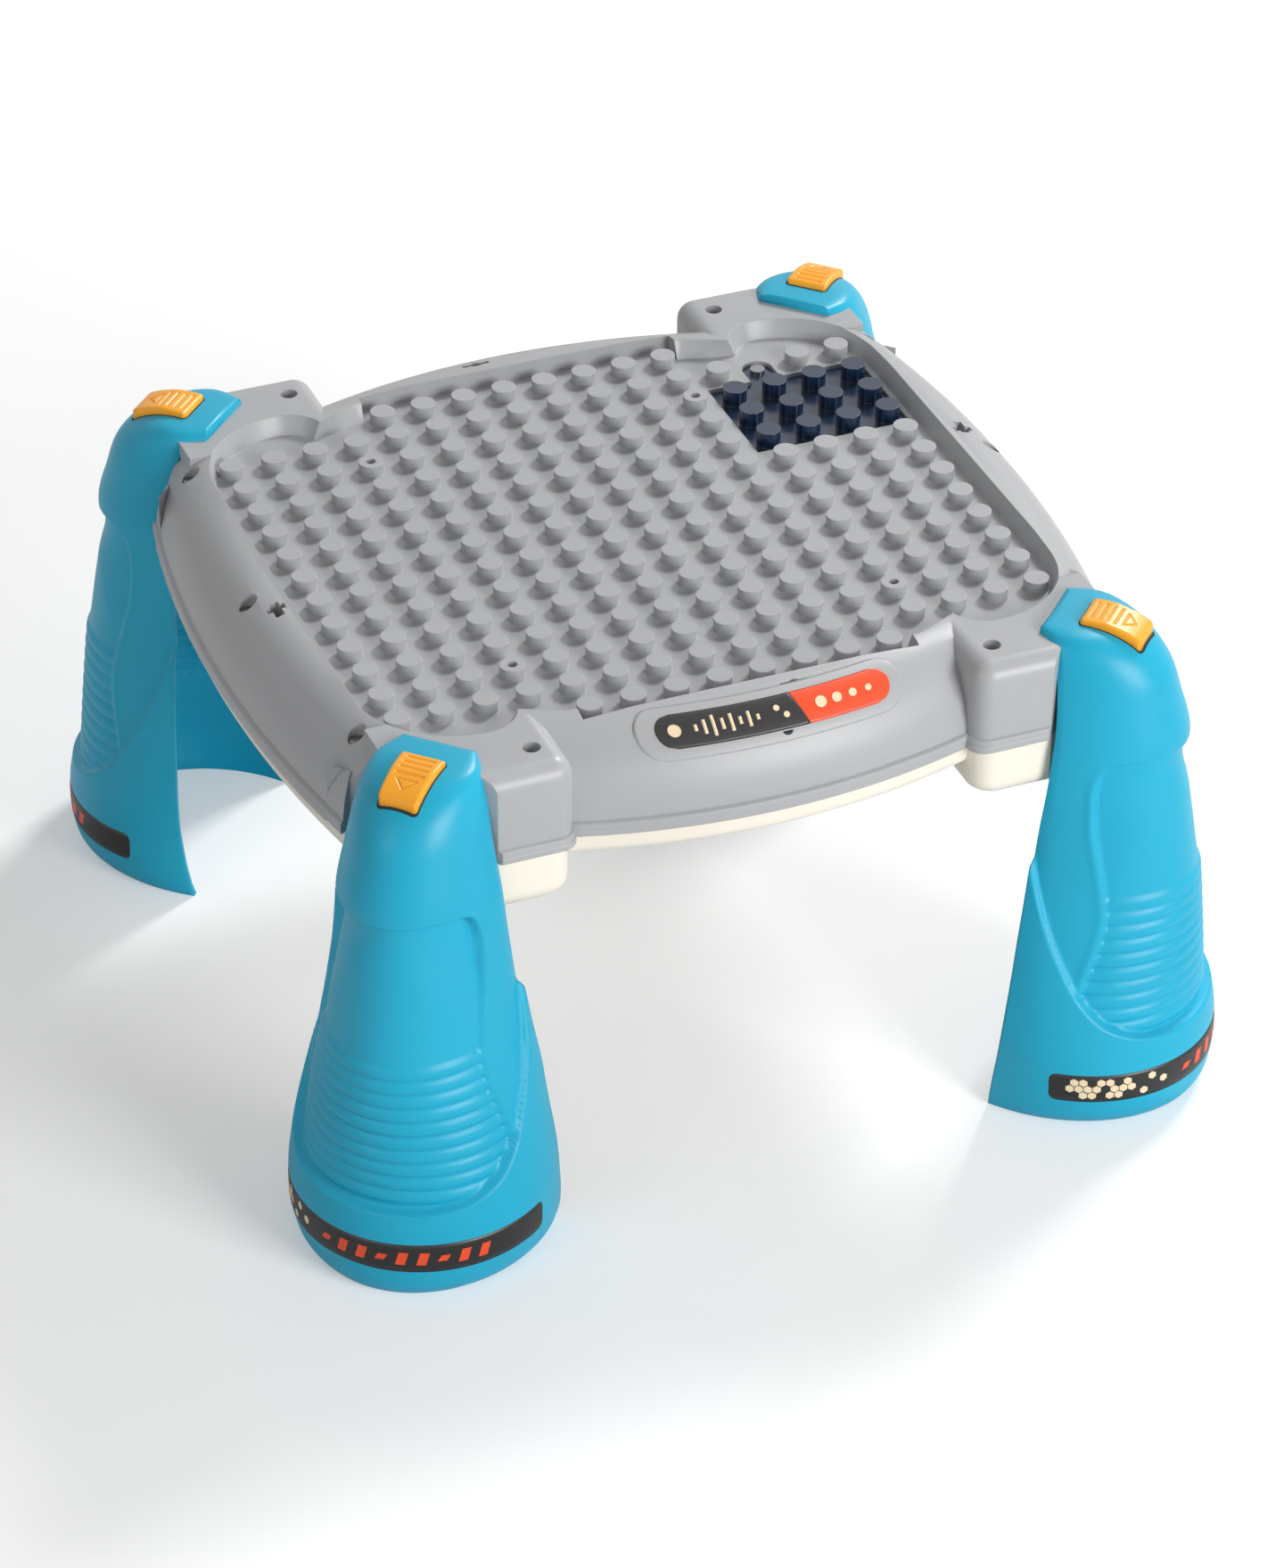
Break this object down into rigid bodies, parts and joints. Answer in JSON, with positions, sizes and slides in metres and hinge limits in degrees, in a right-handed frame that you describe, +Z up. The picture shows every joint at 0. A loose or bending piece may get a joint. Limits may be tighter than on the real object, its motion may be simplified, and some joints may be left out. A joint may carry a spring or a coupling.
{
  "type": "musical activity table",
  "caption": "Low children's activity table with a stud-covered top for building blocks, a battery cover, hollow plug-in legs with release buttons and a music side underneath.",
  "frame": {"origin": "on the floor under the middle of the table", "axes": "+X along the front edge that has the badge, to the right as seen from the front; +Y to the back; +Z up"},
  "size_m": [0.3514, 0.3514, 0.1926],
  "materials": {
    "shell_grey": "satin moulded plastic",
    "shell_cream": "satin moulded plastic",
    "badge_black": "printed satin plastic",
    "screw_steel": "plated steel",
    "spring_steel": "bare spring steel",
    "cell_green": "plain printed sleeve",
    "cover_navy": "gloss moulded plastic",
    "board_green": "lacquered board",
    "mat_rubber": "silicone",
    "button_orange": "satin moulded plastic",
    "speaker_black": "black",
    "key_white": "satin moulded plastic",
    "leg_turquoise": "satin moulded plastic"
  },
  "bodies": {
    "table": {"top_shell": "shell_grey", "bottom_shell": "shell_cream", "front_badge": "badge_black", "rim_screws": "screw_steel", "stud_screws": "screw_steel", "battery_cells": "cell_green", "battery_contacts": "spring_steel", "battery_box": "shell_cream", "circuit_board": "board_green", "contact_mat": "mat_rubber", "power_switch": "cover_navy", "speaker": "speaker_black"},
    "battery_cover": {"battery_cover": "cover_navy", "cover_screw": "screw_steel"},
    "power_knob": {"power_knob": "button_orange"},
    "key_1": {"key_1": "key_white"},
    "key_2": {"key_2": "key_white"},
    "key_3": {"key_3": "key_white"},
    "key_4": {"key_4": "key_white"},
    "key_5": {"key_5": "key_white"},
    "leg_back_right": {"leg_shell_back_right": "leg_turquoise", "leg_band_back_right": "badge_black", "leg_carrier_back_right": "leg_turquoise", "leg_spring_back_right": "spring_steel", "leg_screws_back_right": "screw_steel"},
    "button_back_right": {"leg_button_back_right": "button_orange"},
    "leg_back_left": {"leg_shell_back_left": "leg_turquoise", "leg_band_back_left": "badge_black", "leg_carrier_back_left": "leg_turquoise", "leg_spring_back_left": "spring_steel", "leg_screws_back_left": "screw_steel"},
    "button_back_left": {"leg_button_back_left": "button_orange"},
    "leg_front_left": {"leg_shell_front_left": "leg_turquoise", "leg_band_front_left": "badge_black", "leg_carrier_front_left": "leg_turquoise", "leg_spring_front_left": "spring_steel", "leg_screws_front_left": "screw_steel"},
    "button_front_left": {"leg_button_front_left": "button_orange"},
    "leg_front_right": {"leg_shell_front_right": "leg_turquoise", "leg_band_front_right": "badge_black", "leg_carrier_front_right": "leg_turquoise", "leg_spring_front_right": "spring_steel", "leg_screws_front_right": "screw_steel"},
    "button_front_right": {"leg_button_front_right": "button_orange"}
  },
  "joints": [
    {"name": "cover_lift", "type": "slide", "parent": "table", "child": "battery_cover", "axis": [0, 0, 1], "range_m": [0, 0.03]},
    {"name": "power_slide", "type": "slide", "parent": "table", "child": "power_knob", "axis": [1, 0, 0], "range_m": [0, 0.008]},
    {"name": "key_1_press", "type": "slide", "parent": "table", "child": "key_1", "axis": [0, 0, 1], "range_m": [0, 0.0016], "stiffness_N_per_m": 300, "springref_m": -0.001},
    {"name": "key_2_press", "type": "slide", "parent": "table", "child": "key_2", "axis": [0, 0, 1], "range_m": [0, 0.0016], "stiffness_N_per_m": 300, "springref_m": -0.001},
    {"name": "key_3_press", "type": "slide", "parent": "table", "child": "key_3", "axis": [0, 0, 1], "range_m": [0, 0.0016], "stiffness_N_per_m": 300, "springref_m": -0.001},
    {"name": "key_4_press", "type": "slide", "parent": "table", "child": "key_4", "axis": [0, 0, 1], "range_m": [0, 0.0016], "stiffness_N_per_m": 300, "springref_m": -0.001},
    {"name": "key_5_press", "type": "slide", "parent": "table", "child": "key_5", "axis": [0, 0, 1], "range_m": [0, 0.0016], "stiffness_N_per_m": 300, "springref_m": -0.001},
    {"name": "pull_back_right", "type": "slide", "parent": "table", "child": "leg_back_right", "axis": [0.7071, 0.7071, 0], "range_m": [0, 0.05]},
    {"name": "release_back_right", "type": "slide", "parent": "leg_back_right", "child": "button_back_right", "axis": [0.689, 0.689, -0.225], "range_m": [0, 0.003], "stiffness_N_per_m": 600, "springref_m": -0.002, "deforming": ["leg_spring_back_right"]},
    {"name": "pull_back_left", "type": "slide", "parent": "table", "child": "leg_back_left", "axis": [-0.7071, 0.7071, 0], "range_m": [0, 0.05]},
    {"name": "release_back_left", "type": "slide", "parent": "leg_back_left", "child": "button_back_left", "axis": [-0.689, 0.689, -0.225], "range_m": [0, 0.003], "stiffness_N_per_m": 600, "springref_m": -0.002, "deforming": ["leg_spring_back_left"]},
    {"name": "pull_front_left", "type": "slide", "parent": "table", "child": "leg_front_left", "axis": [-0.7071, -0.7071, 0], "range_m": [0, 0.05]},
    {"name": "release_front_left", "type": "slide", "parent": "leg_front_left", "child": "button_front_left", "axis": [-0.689, -0.689, -0.225], "range_m": [0, 0.003], "stiffness_N_per_m": 600, "springref_m": -0.002, "deforming": ["leg_spring_front_left"]},
    {"name": "pull_front_right", "type": "slide", "parent": "table", "child": "leg_front_right", "axis": [0.7071, -0.7071, 0], "range_m": [0, 0.05]},
    {"name": "release_front_right", "type": "slide", "parent": "leg_front_right", "child": "button_front_right", "axis": [0.689, -0.689, -0.225], "range_m": [0, 0.003], "stiffness_N_per_m": 600, "springref_m": -0.002, "deforming": ["leg_spring_front_right"]}
  ]
}
